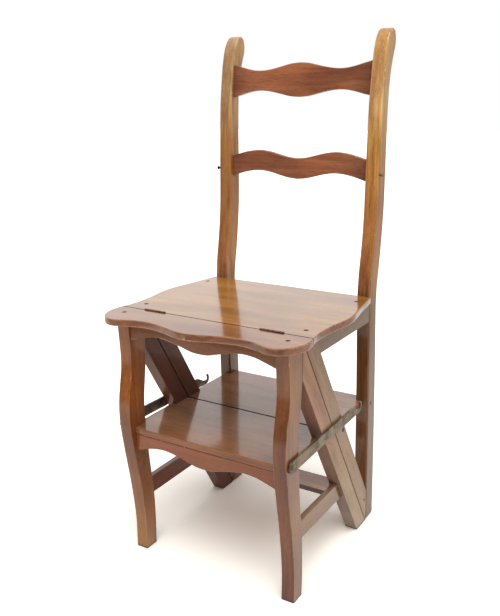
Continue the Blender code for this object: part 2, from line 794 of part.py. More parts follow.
for side, word in SIDES:
    centre = side * hinge_centre
    axis_place = (centre, 0, hinge_height)
    for name, holder, seat_board, y_low, y_high, own, other in (
            ("hinge_front_leaf_", front_section, seat_front_board, -half_seam - leaf_thickness, -half_seam,
             (-1, 1), (0,)),
            ("hinge_rear_leaf_", back_section, seat_rear_board, half_seam, half_seam + leaf_thickness,
             (0,), (-1, 1))):
        low = (centre - hinge_length / 2, y_low, leaf_low)
        high = (centre + hinge_length / 2, y_high, leaf_top)
        mesh, place = box_mesh(name, low, high)
        leaf = piece(name + word, mesh, place, holder, dark_iron)
        wide = rod("room", knuckle_radius + joint_gap, knuckle_length + 2 * joint_gap)
        room = copies_mesh("knuckle_room", wide,
                           [((step * (knuckle_length + joint_gap), 0, 0), ALONG_X) for step in other])
        apply_tool(leaf, tool("knuckle_room", room, axis_place, holder))
        barrel = copies_mesh("knuckles", rod("knuckle", knuckle_radius, knuckle_length),
                             [((step * (knuckle_length + joint_gap), 0, 0), ALONG_X) for step in own])
        apply_tool(leaf, tool("knuckles", barrel, axis_place, holder), "UNION")
        bore = rod("pin_bore", pin_radius + joint_gap, hinge_length + overrun)
        apply_tool(leaf, tool("pin_bore", bore, axis_place, holder, ALONG_X))
        mortise([seat_board], low, high, holder)
        clear = knuckle_radius + joint_gap / 2
        mortise([seat_board], (low[0], -clear, hinge_height - clear),
                (high[0], clear, hinge_height + clear), holder)
    pin = rod("hinge_pin", pin_radius, hinge_length)
    soften(pin)
    piece("hinge_pin_" + word, pin, axis_place, front_section, dark_iron, ALONG_X)

FACE_BACK = (math.radians(-90), 0, 0)
FACE_FRONT = (math.radians(90), 0, 0)
front_leaves = [thing for thing in parts.objects if thing.name.startswith("hinge_front_leaf")]
rear_leaves = [thing for thing in parts.objects if thing.name.startswith("hinge_rear_leaf")]
screw_z = hinge_height - hinge_screw_drop
hinge_spots = [(word + end, side * hinge_centre + side * step * hinge_screw_spacing / 2)
               for side, word in SIDES for step, end in ((1, "_outer"), (-1, "_inner"))]
screws("hinge_front_screw_", hinge_screw,
       [(word, (x, -half_seam, screw_z), FACE_BACK) for word, x in hinge_spots],
       front_section, front_leaves + [seat_front_board], dark_iron)
screws("hinge_rear_screw_", hinge_screw,
       [(word, (x, half_seam, screw_z), FACE_FRONT) for word, x in hinge_spots],
       back_section, rear_leaves + [seat_rear_board], dark_iron)

# Screws through the seat boards into the legs, struts and rails
screw_top = seat_height - joint_gap
front_spots = [(word, (side * screw_set, -leg_screw_set, screw_top), (0, 0, math.radians(20 * side)))
               for side, word in SIDES]
rear_spots = [(word + end, (side * screw_set, depth, screw_top), (0, 0, math.radians(-35 * side)))
              for side, word in SIDES
              for depth, end in ((strut_screw_set, "_front"), (rail_screw_set, "_back"))]
screws("seat_front_screw_", seat_screw, front_spots, front_section,
       [seat_front_board, *legs.values()], dark_iron)
screws("seat_rear_screw_", seat_screw, rear_spots, back_section,
       [seat_rear_board, *rear_struts.values(), *rails.values()], dark_iron)

# Screws through the posts into the shelf, and through the toes of the struts
FACE_SIDE = {1: (0, math.radians(90), 0), -1: (0, math.radians(-90), 0)}
side_face = half_width - joint_gap
screws("shelf_screw_", side_screw,
       [(word, (side * side_face, shelf_screw_set, shelf_middle), FACE_SIDE[side]) for side, word in SIDES],
       back_section, [*posts.values(), shelf_rear_board], dark_iron)
screws("toe_screw_", side_screw,
       [(word, (side * side_face, toe_screw_set, toe_screw_height), FACE_SIDE[side])
        for side, word in SIDES],
       back_section, [*rear_struts.values()], dark_iron)


def turned_piece(name, profile, place, holder, finish, turn):
    mesh = turned_mesh(name, profile)
    soften(mesh)
    return piece(name, mesh, place, holder, finish, turn)


def bore_into(things, radius, depth, place, holder, turn):
    """A round hole with room for a peg of the radius, from a little above its mouth."""
    wide = radius + joint_gap
    profile = ((0, overrun), (wide, overrun), (wide, -depth - joint_gap), (0, -depth - joint_gap))
    drill = tool("bore", turned_mesh("bore", profile), place, holder, turn)
    for thing in things:
        apply_tool(thing, drill)


# Lock studs on the posts and park studs on the rear struts
stud_length = bar_outer + joint_gap + stud_head_thickness - half_width
for side, word in SIDES:
    neck = stud_length - stud_head_thickness
    profile = ((0, stud_length), (stud_head_radius, stud_length), (stud_head_radius, neck),
               (stud_radius, neck), (stud_radius, -stud_depth), (0, -stud_depth))
    place = (side * half_width, stud_set, stud_height)
    turned_piece("lock_stud_" + word, profile, place, back_section, dark_iron, FACE_SIDE[side])
    bore_into([posts[side]], stud_radius, stud_depth, place, back_section, FACE_SIDE[side])
    profile = ((0, park_proud), (park_radius, park_proud), (park_radius, -stud_depth), (0, -stud_depth))
    place = (side * half_width, park_set, park_height)
    turned_piece("park_stud_" + word, profile, place, back_section, dark_iron, FACE_SIDE[side])
    bore_into([rear_struts[side]], park_radius, stud_depth, place, back_section, FACE_SIDE[side])

# Hook bars, drawn from the pivot along the bar
bar_half = bar_height / 2
seat_of_stud = stud_radius + joint_gap
wall_in = stud_reach + seat_of_stud
wall_out = wall_in + hook_wall
neck_start = stud_reach - hook_neck
bar_outline = [(-bar_half * math.sin(math.pi * k / 10), -bar_half * math.cos(math.pi * k / 10))
               for k in range(11)]
bar_outline += smooth_path([
    (neck_start, bar_half), (neck_start + hook_neck * 0.30, bar_half * 0.62),
    (neck_start + hook_neck * 0.62, -bar_half * 0.02), (stud_reach - seat_of_stud, -seat_of_stud * 0.85)])
bar_outline += [(stud_reach + seat_of_stud * math.sin(turn), -seat_of_stud * math.cos(turn))
                for turn in (0, math.pi / 4)]
bar_outline += smooth_path([
    (wall_in, 0), (wall_in, hook_wall * 0.9), (wall_in - hook_wall * 0.5, hook_wall * 1.65),
    (wall_in - hook_wall * 0.35, bar_half * 0.90), (wall_in + hook_wall * 0.45, bar_half * 0.93),
    (wall_out - hook_wall * 0.05, bar_half * 0.45), (wall_out, -bar_half * 0.15),
    (wall_in + hook_wall * 0.30, -bar_half * 0.72), (stud_reach - hook_wall, -bar_half)])
washer_middle = (half_width + bar_inner) / 2
washer_hole = pivot_screw[2] + joint_gap
for side, word in SIDES:
    mesh = flat_mesh("hook_bar", bar_outline, bar_thickness)
    place = (side * (bar_inner + bar_thickness / 2), -pivot_set, pivot_height)
    bar = piece("hook_bar_" + word, mesh, place, bar_pivots[side], iron, SIDE_VIEW)
    bore = rod("pivot_bore", washer_hole, 2 * bar_thickness)
    apply_tool(bar, tool("pivot_bore", bore, place, bar_pivots[side], ALONG_X))
    half = washer_thickness / 2
    ring = ((washer_hole, half), (washer_radius, half), (washer_radius, -half), (washer_hole, -half),
            (washer_hole, half))
    turned_piece("hook_washer_" + word, ring, (side * washer_middle, -pivot_set, pivot_height),
                 front_section, dark_iron, FACE_SIDE[side])
    head_radius, head_depth, shank_radius, depth = pivot_screw
    face = bar_outer + joint_gap - half_width
    dome = [(head_radius * math.sin(turn), face + head_depth * math.cos(turn))
            for turn in (0, math.pi / 6, math.pi / 3, math.pi / 2)]
    profile = dome + [(shank_radius, face), (shank_radius, -depth), (0, -depth)]
    place = (side * half_width, -pivot_set, pivot_height)
    turned_piece("hook_pivot_screw_" + word, profile, place, front_section, dark_iron, FACE_SIDE[side])
    bore_into([legs[side]], shank_radius, depth, place, front_section, FACE_SIDE[side])
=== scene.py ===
import json
import math

import bmesh
import bpy
from mathutils import Matrix, Vector
from mathutils.bvhtree import BVHTree

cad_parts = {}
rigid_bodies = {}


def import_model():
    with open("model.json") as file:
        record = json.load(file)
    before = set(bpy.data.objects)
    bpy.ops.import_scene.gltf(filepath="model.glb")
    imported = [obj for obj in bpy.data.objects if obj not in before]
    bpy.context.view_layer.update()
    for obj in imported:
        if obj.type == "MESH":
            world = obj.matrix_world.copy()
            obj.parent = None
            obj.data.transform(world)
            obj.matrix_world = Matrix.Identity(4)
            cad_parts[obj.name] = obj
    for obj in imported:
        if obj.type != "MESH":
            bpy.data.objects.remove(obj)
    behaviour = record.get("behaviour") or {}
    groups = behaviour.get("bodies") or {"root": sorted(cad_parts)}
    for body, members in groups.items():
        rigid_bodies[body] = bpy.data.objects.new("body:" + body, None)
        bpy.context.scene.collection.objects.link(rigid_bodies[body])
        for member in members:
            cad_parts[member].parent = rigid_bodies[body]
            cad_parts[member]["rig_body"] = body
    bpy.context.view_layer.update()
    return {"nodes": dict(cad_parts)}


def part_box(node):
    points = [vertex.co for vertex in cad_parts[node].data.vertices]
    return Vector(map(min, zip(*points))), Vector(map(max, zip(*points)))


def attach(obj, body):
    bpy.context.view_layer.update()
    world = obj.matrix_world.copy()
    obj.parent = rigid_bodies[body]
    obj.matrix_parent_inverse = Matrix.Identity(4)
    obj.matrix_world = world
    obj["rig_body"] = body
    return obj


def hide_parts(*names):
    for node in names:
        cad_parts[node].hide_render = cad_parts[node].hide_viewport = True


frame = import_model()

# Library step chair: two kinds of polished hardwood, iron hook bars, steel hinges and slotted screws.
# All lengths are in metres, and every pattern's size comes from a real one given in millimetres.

MM = 0.001
# Where the seat's joint lies, how high the seat is, and how far back of that joint the struts' joint
# meets the floor
HINGE_LINE_Y = -0.132114
SEAT_TOP = 0.450
SEAM_FOOT = 0.266264

# ---- Small helpers ----


def linear(shade):
    """A colour's linear values, with alpha, from its sRGB hex."""
    steps = [int(shade[i:i + 2], 16) / 255 for i in (0, 2, 4)]
    return [s / 12.92 if s <= 0.04045 else ((s + 0.055) / 1.055) ** 2.4 for s in steps] + [1]


def add(tree, kind, inputs=None, stops=(), **settings):
    """A node with its settings, its inputs set or linked, and a colour ramp's stops."""
    node = tree.nodes.new(kind)
    for name, value in settings.items():
        setattr(node, name, value)
    for name, value in (inputs or {}).items():
        if isinstance(value, bpy.types.NodeSocket):
            tree.links.new(value, node.inputs[name])
        else:
            node.inputs[name].default_value = value
    for number, (place, colour) in enumerate(stops):
        elements = node.color_ramp.elements
        element = elements[number] if number < len(elements) else elements.new(place)
        element.position = place
        element.color = (*colour[:3], 1)
    return node


def new_material(name):
    material = bpy.data.materials.new(name)
    material.use_nodes = True
    material.node_tree.nodes.clear()
    return material, material.node_tree


# ---- Wood ----

# Each wood: early and late growth, the dark of its pores, what its worn edges show, how strong its figure
# and its cloudy patches are, how rough it is under its polish, how much it shines under it, and how much of
# the polish is left
WOODS = {
    "leg": dict(early="925B38", late="6A3D24", pores="38200F", worn="BE8A60", figure=1.1, cloud=1.5,
                rough=0.34, shine=0.12),
    "side_leg": dict(early="A4642E", late="784220", pores="3C2110", worn="C29050", figure=1.1, cloud=1.5,
                     rough=0.34, shine=0.12),
    "apron": dict(early="905738", late="6A3C25", pores="381F13", worn="B67E58", figure=0.8, cloud=1.2,
                  rough=0.34, shine=0.12),
    "strut": dict(early="98694C", late="70482F", pores="3A241A", worn="B98C6C", figure=1.1, cloud=1.4,
                  rough=0.36, shine=0.16),
    "dull_strut": dict(early="98694C", late="70482F", pores="3A241A", worn="B98C6C", figure=1.1, cloud=1.4,
                       rough=0.38, shine=0.12, polish=0.35),
    "post": dict(early="D6A262", late="A87040", pores="6A4420", worn="DDB070", figure=1.6, cloud=2.2,
                 rough=0.32, shine=0.12, polish=0.8),
    "slat": dict(early="AE6A46", late="78422A", pores="45241A", worn="B87A4C", figure=1.0, cloud=2.4,
                 rough=0.34, shine=0.12),
    "seat": dict(early="B88240", late="8A5820", pores="4C2C10", worn="B07C44", figure=1.0, cloud=2.2,
                 rough=0.20, shine=0.34),
    "rim": dict(early="94624A", late="6A402C", pores="382013", worn="C08E62", figure=1.5, cloud=1.5,
                rough=0.34, shine=0.12),
    "shelf": dict(early="B4825C", late="8C603F", pores="3C2416", worn="A87850", figure=0.8, cloud=2.2,
                  rough=0.22, shine=0.26),
}

# The turn that lays the grain along each piece
ALONG_X = (0, 0, 0)
ALONG_Y = (0, 0, math.radians(-90))
ALONG_Z = (0, math.radians(90), 0)
STRUT_LEAN = math.atan2(SEAM_FOOT, SEAT_TOP)
ALONG_STRUT = (-STRUT_LEAN, math.radians(90), 0)

# How each piece's colour is scaled: on its fronts, its sides and its tops, and in bands along one axis, each
# at its distance from where the bands start. All are shares of the wood's red, green and blue. They are
# partly the old polish's own toning, darkest where no hand or shoe rubs it, and partly painted light and
# shade: where a face or a stretch falls in shade it is darkened, and where it catches light it is lightened.
# Where the back, or the side to the sitter's right, differs, it has a share of its own.
PLAIN = (1, 1, 1)
# Each facing's share of painted light and toning, the one that stands in for it, and the way its faces look.
# A face starts to have the share where its normal is TURNING towards that way, and has all of it at TURNED.
FACES_WITH_PAINTED_LIGHT = (("back", "front", "Y", 1), ("side", "side", "X", 1), ("far_side", "side", "X", -1),
               ("top", "top", "Z", 1), ("top", "top", "Z", -1))
TURNING, TURNED = 0.5, 0.85
# The limit of a band wanders by half of this to either side
TONE_WANDER = 50 * MM
SLAT_TONES_AND_PAINTED_LIGHT = dict(bands=("X", -0.16, (0.02, (0.60, 0.62, 0.75)), (0.05, (0.92, 0.95, 1.00)),
                         (0.20, (1.00, 1.00, 1.00)), (0.26, (1.08, 1.18, 1.20)),
                         (0.30, (0.80, 0.85, 0.90))))
TONES_AND_PAINTED_LIGHT = {
    "front_leg_left": dict(front=(0.88, 0.76, 0.60), side=(1.15, 1.22, 0.85),
                           bands=("Z", 0.0, (0.0, (0.62, 0.60, 0.70)), (0.08, (0.70, 0.68, 0.75)),
                                    (0.15, (0.95, 0.88, 0.85)), (0.24, (0.86, 0.80, 0.80)),
                                    (0.30, (0.92, 0.92, 0.95)), (0.37, (1.10, 1.15, 1.05)))),
    "front_leg_right": dict(front=(0.92, 0.92, 0.80), side=(0.95, 0.95, 1.00),
                            bands=("Z", 0.0, (0.0, (1.00, 1.20, 1.35)), (0.07, (1.02, 1.12, 1.25)),
                                     (0.13, (0.92, 0.88, 0.85)), (0.22, (0.72, 0.66, 0.68)),
                                     (0.26, (0.76, 0.70, 0.70)), (0.31, (1.05, 0.95, 0.90)))),
    # Below the seat the posts are darkened, partly as painted shade of the seat and partly for old polish
    "back_post_left": dict(front=(1.02, 1.09, 1.15), side=(0.77, 0.80, 0.62), bands=(
        "Z", 0.0, (0.0, (0.31, 0.25, 0.28)), (0.42, (0.33, 0.27, 0.28)), (0.49, (0.68, 0.51, 0.45)),
        (0.62, (0.79, 0.59, 0.41)), (0.71, (0.95, 0.87, 0.58)), (0.79, (1.16, 1.25, 1.50)),
        (0.86, (0.98, 0.96, 0.92)))),
    "back_post_right": dict(front=(0.97, 1.02, 1.08), side=(0.88, 0.88, 0.74), bands=(
        "Z", 0.0, (0.0, (0.29, 0.23, 0.28)), (0.42, (0.36, 0.30, 0.32)), (0.48, (0.82, 0.68, 0.68)),
        (0.62, (0.56, 0.41, 0.34)), (0.72, (0.66, 0.53, 0.46)), (0.79, (1.02, 1.22, 1.60)),
        (0.86, (0.80, 0.88, 1.15)))),
    "front_strut_left": dict(front=(1.08, 1.36, 1.95), side=(1.44, 1.80, 2.03), bands=(
        "Z", 0.0, (0.0, (1.12, 1.44, 1.70)), (0.12, (0.96, 1.14, 1.25)), (0.20, (0.84, 0.88, 0.86)),
        (0.27, (0.88, 0.88, 0.94)), (0.32, (0.86, 0.78, 0.84)), (0.36, (0.91, 0.87, 0.86)))),
    "rear_strut_left": dict(front=(1.65, 1.80, 1.60), side=(1.22, 1.74, 2.08)),
    # The inner sides of the far struts are darkened as painted shade, and their outer sides less
    "front_strut_right": dict(front=(0.62, 0.41, 0.27), side=(0.50, 0.36, 0.34),
                              back=(0.90, 0.80, 0.60), far_side=(1.00, 0.88, 0.55)),
    "rear_strut_right": dict(front=(0.95, 0.75, 0.60), side=(0.60, 0.44, 0.40),
                             back=(0.95, 0.84, 0.60), far_side=(0.90, 0.76, 0.45)),
    "seat_side_rail_left": dict(side=(0.65, 0.70, 0.39)),
    "side_stretcher_left": dict(side=(0.75, 0.72, 0.30), top=(1.00, 1.42, 1.90)),
    "side_stretcher_right": dict(side=(0.64, 0.40, 0.30), far_side=(0.95, 0.85, 0.60)),
    # The tread's front is darkened as painted shade, and its top, which lies in shade, is lightened as
    # painted light
    "low_tread": dict(front=(0.35, 0.22, 0.22), back=(0.90, 0.80, 0.65), top=(2.30, 3.00, 3.40)),
    "shelf_apron": dict(front=(1.08, 0.85, 0.55)),
    "seat_apron": dict(front=(1.12, 1.25, 1.20)),
    "top_slat": SLAT_TONES_AND_PAINTED_LIGHT,
    "middle_slat": SLAT_TONES_AND_PAINTED_LIGHT,
    "seat_front_board": dict(top=(0.78, 0.62, 0.55)),
    "shelf_front_board": dict(front=(1.40, 1.30, 0.95), bands=(
        "Y", -0.176, (0.0, (0.72, 0.62, 0.55)), (0.045, (0.88, 0.84, 0.84)), (0.09, (1.10, 1.25, 1.40)),
        (0.15, (1.14, 1.32, 1.60)))),
    "seat_rear_board": dict(side=(0.85, 0.72, 0.60)),
}


def polished_wood(name, wood, grain, offset, tones_and_painted_light):
    """Hand-polished hardwood. Long soft figure and fine fibres run along the grain, short dark pores
    fleck it, and a clear shellac polish over it mirrors the room at low angles."""
    look = WOODS[wood]
    material, tree = new_material(name)
    given = add(tree, "ShaderNodeTexCoord").outputs
    place = add(tree, "ShaderNodeSeparateXYZ", {"Vector": given["Object"]}).outputs
    turned = add(tree, "ShaderNodeMapping", {"Vector": given["Object"], "Location": offset,
                                             "Rotation": grain})
    # The grain wanders by a few millimetres over a hand's length
    drift = add(tree, "ShaderNodeTexNoise", {"Vector": turned.outputs["Vector"], "Scale": 1 / (110 * MM),
                                             "Detail": 2.0, "Roughness": 0.5})
    centred = add(tree, "ShaderNodeVectorMath", {0: drift.outputs["Color"], 1: (0.5, 0.5, 0.5)},
                  operation="SUBTRACT")
    bent = add(tree, "ShaderNodeVectorMath", {0: centred.outputs[0], 1: (0.0, 9 * MM, 9 * MM),
                                              2: turned.outputs["Vector"]}, operation="MULTIPLY_ADD")

    # Each layer's spots are as long along the grain and as wide across it as given, in millimetres. Pores
    # are drawn 1.1 mm wide, about four times their width, so that they show.
    noises = {}
    for layer, length, width, detail, roughness in (
            ("figure", 260, 17, 3.0, 0.55), ("streaks", 120, 4.5, 2.0, 0.55), ("fibres", 40, 1.6, 2.0, 0.6),
            ("cloud", 150, 45, 2.0, 0.5), ("pores", 10, 1.1, 1.0, 0.5)):
        scaled = add(tree, "ShaderNodeVectorMath",
                     {0: bent.outputs[0], 1: (1 / (length * MM), 1 / (width * MM), 1 / (width * MM))},
                     operation="MULTIPLY")
        noises[layer] = add(tree, "ShaderNodeTexNoise", {
            "Vector": scaled.outputs[0], "Scale": 1.0, "Detail": detail,
            "Roughness": roughness}).outputs["Fac"]
    streaks, fibres, pores = noises["streaks"], noises["fibres"], noises["pores"]
    # How far each layer moves the wood between late and early growth
    weights = {"figure": 1.1 * look["figure"], "streaks": 0.9 * look["figure"],
               "fibres": 0.45 * look["figure"], "cloud": look["cloud"]}
    growth = 0.5 - sum(weights.values()) / 2
    for layer, weight in weights.items():
        growth = add(tree, "ShaderNodeMath", {0: noises[layer], 1: weight, 2: growth},
                     operation="MULTIPLY_ADD").outputs[0]
    early, late = linear(look["early"]), linear(look["late"])
    colour = add(tree, "ShaderNodeValToRGB", {"Fac": growth}, stops=[(0.0, late), (1.0, early)])
    # Only the lowest spots of their noise are pores
    specks = add(tree, "ShaderNodeMapRange", {"Value": pores, "From Min": 0.43, "From Max": 0.33,
                                              "To Max": 0.32}, clamp=True)
    colour = add(tree, "ShaderNodeMix", {0: specks.outputs[0], 6: colour.outputs["Color"],
                                         7: linear(look["pores"])}, data_type="RGBA")
    # Painted light and shade, with the polish's own toning, by which way the wood faces
    way = add(tree, "ShaderNodeSeparateXYZ", {"Vector": given["Normal"]}).outputs
    painted_light_and_tone = (*tones_and_painted_light.get("front", PLAIN), 1)
    for part, otherwise, axis, sign in FACES_WITH_PAINTED_LIGHT:
        turn = add(tree, "ShaderNodeMapRange", {"Value": way[axis], "From Min": TURNING * sign,
                                                "From Max": TURNED * sign}, clamp=True)
        face_painted_light_and_tone = tones_and_painted_light.get(part, tones_and_painted_light.get(otherwise, PLAIN))
        painted_light_and_tone = add(tree, "ShaderNodeMix", {0: turn.outputs[0], 6: painted_light_and_tone, 7: (*face_painted_light_and_tone, 1)},
                   data_type="RGBA").outputs[2]
    colour = add(tree, "ShaderNodeMix", {0: 1.0, 6: colour.outputs[2], 7: painted_light_and_tone}, data_type="RGBA",
                 blend_type="MULTIPLY")
    # Polish is rubbed thin along the arrises, in uneven lengths, and knocked off them in small chips
    edge = add(tree, "ShaderNodeAttribute", attribute_name="worn", attribute_type="GEOMETRY")
    spots = add(tree, "ShaderNodeTexNoise", {"Vector": given["Object"], "Scale": 1 / (7 * MM),
                                             "Detail": 1.0})
    # The feet are knocked more than the rest
    feet = add(tree, "ShaderNodeMapRange", {"Value": place["Z"], "From Min": 8 * MM, "From Max": 20 * MM,
                                            "To Min": 0.12, "To Max": 0.0}, clamp=True)
    knocks = add(tree, "ShaderNodeMath", {0: spots.outputs["Fac"], 1: feet.outputs[0]}, operation="ADD")
    chips = add(tree, "ShaderNodeMapRange", {"Value": knocks.outputs[0], "From Min": 0.68,
                                             "From Max": 0.73}, clamp=True)
    rub = add(tree, "ShaderNodeMapRange", {"Value": streaks, "From Min": 0.36, "From Max": 0.66,
                                           "To Min": 0.05, "To Max": 0.45}, clamp=True)
    rub = add(tree, "ShaderNodeMath", {0: rub.outputs[0], 1: chips.outputs[0]}, operation="MAXIMUM")
    worn = add(tree, "ShaderNodeMath", {0: edge.outputs["Fac"], 1: rub.outputs[0]}, operation="MULTIPLY")
    colour = add(tree, "ShaderNodeMix", {0: worn.outputs[0], 6: colour.outputs[2], 7: linear(look["worn"])},
                 data_type="RGBA")
    if "bands" in tones_and_painted_light:
        # The bands of painted light and shade, with the polish's own toning, lie over the worn arrises too,
        # and no band ends in a ruled line
        axis, start, *stops = tones_and_painted_light["bands"]
        wander = add(tree, "ShaderNodeMath", {0: streaks, 1: TONE_WANDER, 2: place[axis]},
                     operation="MULTIPLY_ADD")
        wander = add(tree, "ShaderNodeMath", {0: wander.outputs[0], 1: start + TONE_WANDER / 2},
                     operation="SUBTRACT")
        band = add(tree, "ShaderNodeValToRGB", {"Fac": wander.outputs[0]}, stops=stops)
        colour = add(tree, "ShaderNodeMix", {0: 1.0, 6: colour.outputs[2], 7: band.outputs["Color"]},
                     data_type="RGBA", blend_type="MULTIPLY")
    # The wood darkens to nearly black in the last few millimetres above the floor
    floor_darkening = add(tree, "ShaderNodeMapRange", {"Value": place["Z"], "From Min": 1.5 * MM, "From Max": 5 * MM,
                                             "To Min": 0.7, "To Max": 0.0}, clamp=True)
    colour = add(tree, "ShaderNodeMix", {0: floor_darkening.outputs[0], 6: colour.outputs[2], 7: linear("1C100A")},
                 data_type="RGBA")
    gloss = add(tree, "ShaderNodeMapRange", {"Value": fibres, "To Min": look["rough"] - 0.07,
                                             "To Max": look["rough"] + 0.08})
    height = add(tree, "ShaderNodeMath", {0: pores, 1: 0.6, 2: fibres}, operation="MULTIPLY_ADD")
    bump = add(tree, "ShaderNodeBump", {"Height": height.outputs[0], "Strength": 0.12, "Distance": 0.2 * MM})
    # The polish itself is smoother than the wood, with a slow ripple from the pad that laid it on
    ripple = add(tree, "ShaderNodeTexNoise", {"Vector": turned.outputs["Vector"],
                                              "Scale": 1 / (28 * MM), "Detail": 1.0})
    film = add(tree, "ShaderNodeBump", {"Height": ripple.outputs["Fac"], "Strength": 0.10,
                                        "Distance": 0.35 * MM})
    shader = add(tree, "ShaderNodeBsdfPrincipled", {
        "Base Color": colour.outputs[2], "Roughness": gloss.outputs[0], "Normal": bump.outputs[0], "IOR": 1.5,
        "Specular IOR Level": look["shine"], "Coat Weight": look.get("polish", 1.0), "Coat Roughness": 0.09,
        "Coat IOR": 1.5, "Coat Normal": film.outputs[0]})
    add(tree, "ShaderNodeOutputMaterial", {"Surface": shader.outputs[0]})
    return material


def joint_shade_and_wax(name):
    """Painted shade of an open joint, with old wax and dust in it, where the halves close: nearly black,
    matt.
    """
    material, tree = new_material(name)
    place = add(tree, "ShaderNodeTexCoord").outputs["Object"]
    crumbs = add(tree, "ShaderNodeTexNoise", {"Vector": place, "Scale": 1 / (6 * MM),
                                              "Detail": 3.0}).outputs["Fac"]
    colour = add(tree, "ShaderNodeValToRGB", {"Fac": crumbs},
                 stops=[(0.45, linear("140B07")), (0.75, linear("4A3222"))]).outputs["Color"]
    bump = add(tree, "ShaderNodeBump", {"Height": crumbs, "Strength": 0.3, "Distance": 0.2 * MM})
    shader = add(tree, "ShaderNodeBsdfPrincipled", {
        "Base Color": colour, "Roughness": 0.85, "Specular IOR Level": 0.15, "Normal": bump.outputs[0]})
    add(tree, "ShaderNodeOutputMaterial", {"Surface": shader.outputs[0]})
    return material


SEAM_SHADE_AND_WAX = joint_shade_and_wax("painted_joint_shade_and_wax")

# ---- Metal ----


def forged_iron(name, bright, dark, rust, rough, spot_mm):
    """Old wrought iron or steel: a dull skin, mottled where it has darkened, with a little brown rust."""
    material, tree = new_material(name)
    place = add(tree, "ShaderNodeTexCoord").outputs["Object"]
    mottle = add(tree, "ShaderNodeTexNoise", {"Vector": place, "Scale": 1 / (spot_mm * MM),
                                              "Detail": 4.0, "Roughness": 0.6}).outputs["Fac"]
    grit = add(tree, "ShaderNodeTexNoise", {"Vector": place, "Scale": 1 / (0.9 * MM),
                                            "Detail": 2.0}).outputs["Fac"]
    colour = add(tree, "ShaderNodeValToRGB", {"Fac": mottle},
                 stops=[(0.36, linear(dark)), (0.58, linear(bright))])
    brown = add(tree, "ShaderNodeMapRange", {"Value": grit, "From Min": 0.56, "From Max": 0.72,
                                             "To Max": 0.7}, clamp=True)
    colour = add(tree, "ShaderNodeMix", {0: brown.outputs[0], 6: colour.outputs["Color"], 7: linear(rust)},
                 data_type="RGBA").outputs[2]
    dull = add(tree, "ShaderNodeMapRange", {"Value": mottle, "To Min": rough + 0.12,
                                            "To Max": rough - 0.10}).outputs[0]
    bump = add(tree, "ShaderNodeBump", {"Height": grit, "Strength": 0.25, "Distance": 0.12 * MM})
    shader = add(tree, "ShaderNodeBsdfPrincipled", {
        "Base Color": colour, "Roughness": dull, "Metallic": 0.75, "Normal": bump.outputs[0]})
    add(tree, "ShaderNodeOutputMaterial", {"Surface": shader.outputs[0]})
    return material


# Each metal: its bright and dark skin, its rust, how rough it is, and how many millimetres its mottles are
bar_iron = forged_iron("waxed_wrought_iron", "948572", "6A5A4A", "5A4634", 0.44, 16)
# The bar on the sitter's right is seen in the chair's shade, so its copy of the iron is darker: painted shade
bar_iron_with_painted_shade = forged_iron("wrought_iron_with_painted_shade", "7C7468", "5A5048", "4E3C30", 0.44, 14)
hinge_steel = forged_iron("browned_hinge_steel", "8A7060", "54402F", "5E3E28", 0.46, 3)
rubbed_iron = forged_iron("rubbed_stud_iron", "A08C70", "77634A", "5E4834", 0.42, 3)
dark_steel = forged_iron("blackened_hinge_steel", "4A3F34", "241D17", "4A2E1C", 0.48, 3)
screw_steel = forged_iron("browned_screw_steel", "57483A", "2E241C", "4E311F", 0.45, 2)

# ---- Finished copies of the solids ----

# How close points are welded, the turn below which two faces are one flat, the turn from which an edge is an
# arris to ease, and the turn below which an edge is shaded smooth
WELD = 0.02 * MM
FLAT = math.radians(0.3)
SHARP = math.radians(38)
SMOOTH = math.radians(47)
EASE_STEPS = 2
# An edge within this reach of another piece is in a joint, and isn't eased
JOINT_REACH = 0.7 * MM
# A face is part of a worn arris where it is narrower than this and turns off its neighbours
NARROW = 2.6 * MM
TURNS_OFF = math.radians(12)
# The faces of a board's rim look less than this far up or down
RIM_TILT = 0.6
# The halves of the chair that close against each other, how far their joint is eased in millimetres, and
# how near an edge is to the other half where it is part of that joint
SEAMS = {"seat_front_board": ("seat_rear_board", 0.6), "shelf_front_board": ("shelf_rear_board", 1.2),
         "front_strut_left": ("rear_strut_left", 0.4), "front_strut_right": ("rear_strut_right", 0.7)}
SEAMS.update({partner: (piece, ease) for piece, (partner, ease) in SEAMS.items()})
SEAM_REACH = 2.2 * MM


def welded(node):
    """The node's shape as one clean mesh with its flat faces whole."""
    shape = bmesh.new()
    shape.from_mesh(frame["nodes"][node].data)
    bmesh.ops.remove_doubles(shape, verts=shape.verts, dist=WELD)
    bmesh.ops.dissolve_limit(shape, angle_limit=FLAT, verts=shape.verts, edges=shape.edges)
    return shape


def body_of(node):
    return frame["nodes"][node]["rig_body"]


TREES = {}
for node in frame["nodes"]:
    shape = bmesh.new()
    shape.from_mesh(frame["nodes"][node].data)
    TREES[node] = BVHTree.FromBMesh(shape)
    shape.free()


def at_a_joint(node, point):
    """Whether another piece of the same section touches this one here."""
    for other, tree in TREES.items():
        if other != node and body_of(other) == body_of(node):
            if tree.find_nearest(point, JOINT_REACH)[0] is not None:
                return True
    return False


